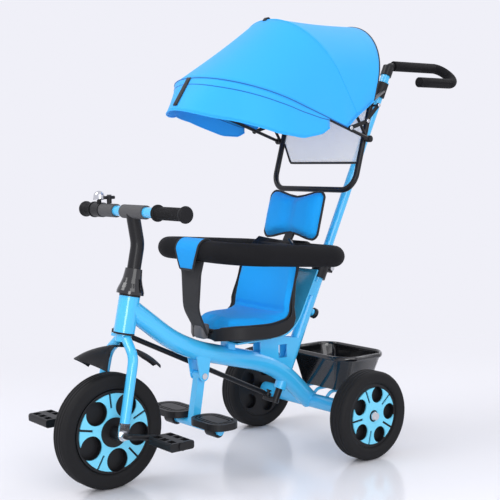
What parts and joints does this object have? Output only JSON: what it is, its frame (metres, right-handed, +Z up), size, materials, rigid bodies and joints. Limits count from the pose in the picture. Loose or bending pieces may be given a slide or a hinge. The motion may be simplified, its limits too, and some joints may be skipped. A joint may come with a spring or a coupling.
{
  "type": "toddler push-along trike",
  "caption": "Toddler push-along trike with steered front wheel and pedals, padded guard ring, seat, steering push rod, folding canopy, footrest and rear bin.",
  "frame": {"origin": "on the ground under the middle of the part's bounding box", "axes": "-Y to the front, +X to the rider's left, +Z up"},
  "size_m": [0.4696, 1.196, 1.0264],
  "materials": {
    "blue_paint": "gloss",
    "black_plastic": "satin",
    "gloss_black": "gloss",
    "black_paint": "satin",
    "black_foam": "matte",
    "grip_rubber": "matte",
    "grey_rubber": "matte",
    "tyre_black": "matte",
    "star_blue": "gloss",
    "bright_steel": "polished",
    "seat_cloth": "matte",
    "black_webbing": "matte",
    "canopy_fabric": "matte",
    "mesh_fabric": "matte"
  },
  "bodies": {
    "frame": {"main_frame": "blue_paint", "head_bushes": "black_plastic", "push_rod": "blue_paint", "rod_clamp": "black_plastic", "clamp_bolt": "bright_steel", "footrest_bolt": "bright_steel", "seat_support": "blue_paint", "seat_knob": "black_plastic", "seat_shell": "black_plastic", "seat_cushion": "seat_cloth", "headrest_post": "black_plastic", "headrest_pillow": "seat_cloth", "guard_tube": "bright_steel", "guard_foam": "black_foam", "guard_bracket": "black_plastic", "guard_flap": "seat_cloth", "crotch_strap": "black_webbing", "basket": "black_plastic", "canopy_hoop": "black_paint", "canopy_pivots": "bright_steel", "canopy_clip": "black_plastic", "canopy_struts": "black_paint", "canopy_mesh": "mesh_fabric", "canopy_cloth": "canopy_fabric", "rear_axle": "bright_steel", "axle_caps": "bright_steel"},
    "lock_knob": {"lock_knob": "black_plastic"},
    "front_bow": {"front_bow": "black_paint", "canopy_visor": "canopy_fabric"},
    "mid_bow": {"mid_bow": "black_paint"},
    "stay_lower": {"stay_lower": "black_paint"},
    "stay_upper": {"stay_upper": "black_paint"},
    "rear_wheel_left": {"rear_tyre_left": "tyre_black", "rear_core_left": "black_plastic", "rear_star_left": "star_blue"},
    "rear_wheel_right": {"rear_tyre_right": "tyre_black", "rear_core_right": "black_plastic", "rear_star_right": "star_blue"},
    "steering": {"fork": "blue_paint", "fork_ends": "bright_steel", "fender": "black_plastic", "stem": "black_paint", "stem_collar": "gloss_black", "handlebar": "blue_paint", "bar_sleeves": "grey_rubber", "grips": "grip_rubber", "bell_clamp": "black_plastic", "bell": "bright_steel"},
    "bell_lever": {"bell_lever": "black_plastic"},
    "front_wheel": {"front_tyre": "tyre_black", "front_core": "black_plastic", "front_stars": "star_blue", "crank": "bright_steel"},
    "pedal_left": {"pedal_left": "black_plastic"},
    "pedal_right": {"pedal_right": "black_plastic"},
    "handle": {"handle_shaft": "black_paint", "handle_foam": "black_foam"},
    "link": {"steering_link": "black_paint"},
    "footrest": {"footrest_post": "blue_paint", "footrest_pads": "black_plastic"}
  },
  "joints": [
    {"name": "steering_turn", "type": "hinge", "parent": "frame", "child": "steering", "pos_m": [0, -0.42188, 0.36972], "axis": [0, 0.2045, 0.9789], "range_deg": [-25, 25]},
    {"name": "handle_turn", "type": "hinge", "parent": "frame", "child": "handle", "pos_m": [0, 0.15786, 0.46244], "axis": [0, 0.4329, 0.9015], "range_deg": [-25, 25]},
    {"name": "link_pivot", "type": "hinge", "parent": "steering", "child": "link", "pos_m": [-0.034, -0.42965, 0.33252], "axis": [0, 0.2045, 0.9789], "range_deg": [-25, 25]},
    {"name": "front_wheel_spin", "type": "hinge", "parent": "steering", "child": "front_wheel", "pos_m": [0, -0.473, 0.125], "axis": [1, 0, 0], "continuous": true},
    {"name": "pedal_left_spin", "type": "hinge", "parent": "front_wheel", "child": "pedal_left", "pos_m": [0, -0.40012, 0.11215], "axis": [1, 0, 0], "continuous": true},
    {"name": "pedal_right_spin", "type": "hinge", "parent": "front_wheel", "child": "pedal_right", "pos_m": [0, -0.54588, 0.13785], "axis": [1, 0, 0], "continuous": true},
    {"name": "rear_left_spin", "type": "hinge", "parent": "frame", "child": "rear_wheel_left", "pos_m": [0.205, 0.103, 0.104], "axis": [1, 0, 0], "continuous": true},
    {"name": "rear_right_spin", "type": "hinge", "parent": "frame", "child": "rear_wheel_right", "pos_m": [-0.205, 0.103, 0.104], "axis": [1, 0, 0], "continuous": true},
    {"name": "footrest_fold", "type": "hinge", "parent": "frame", "child": "footrest", "pos_m": [0, -0.232, 0.212], "axis": [1, 0, 0], "range_deg": [0, 50]},
    {"name": "canopy_fold", "type": "hinge", "parent": "frame", "child": "front_bow", "pos_m": [0, 0.14889, 0.74528], "axis": [-1, 0, 0], "range_deg": [0, 75], "deforming": ["canopy_cloth"]},
    {"name": "mid_bow_fold", "type": "hinge", "parent": "frame", "child": "mid_bow", "pos_m": [0, 0.14889, 0.74528], "axis": [-1, 0, 0], "range_deg": [0, 37.5]},
    {"name": "stay_lower_turn", "type": "hinge", "parent": "front_bow", "child": "stay_lower", "pos_m": [0, 0.07802, 0.76982], "axis": [1, 0, 0], "range_deg": [0, 141.3]},
    {"name": "stay_upper_turn", "type": "hinge", "parent": "frame", "child": "stay_upper", "pos_m": [0, 0.17102, 0.8232], "axis": [-1, 0, 0], "range_deg": [0, 122.5]},
    {"name": "bell_lever_turn", "type": "hinge", "parent": "steering", "child": "bell_lever", "pos_m": [-0.095, -0.402, 0.611], "axis": [0, 0, 1], "range_deg": [-30, 30]},
    {"name": "lock_knob_pull", "type": "slide", "parent": "frame", "child": "lock_knob", "axis": [0, 0.9015, -0.4329], "range_m": [0, 0.006], "stiffness_N_per_m": 800, "springref_m": -0.002}
  ],
  "couplings": [
    {"joint": "handle_turn", "follows": "steering_turn", "ratio": 1},
    {"joint": "link_pivot", "follows": "steering_turn", "ratio": -1},
    {"joint": "mid_bow_fold", "follows": "canopy_fold", "ratio": 0.5},
    {"joint": "stay_lower_turn", "follows": "canopy_fold", "ratio": 1.8836},
    {"joint": "stay_upper_turn", "follows": "canopy_fold", "ratio": 1.6325}
  ]
}
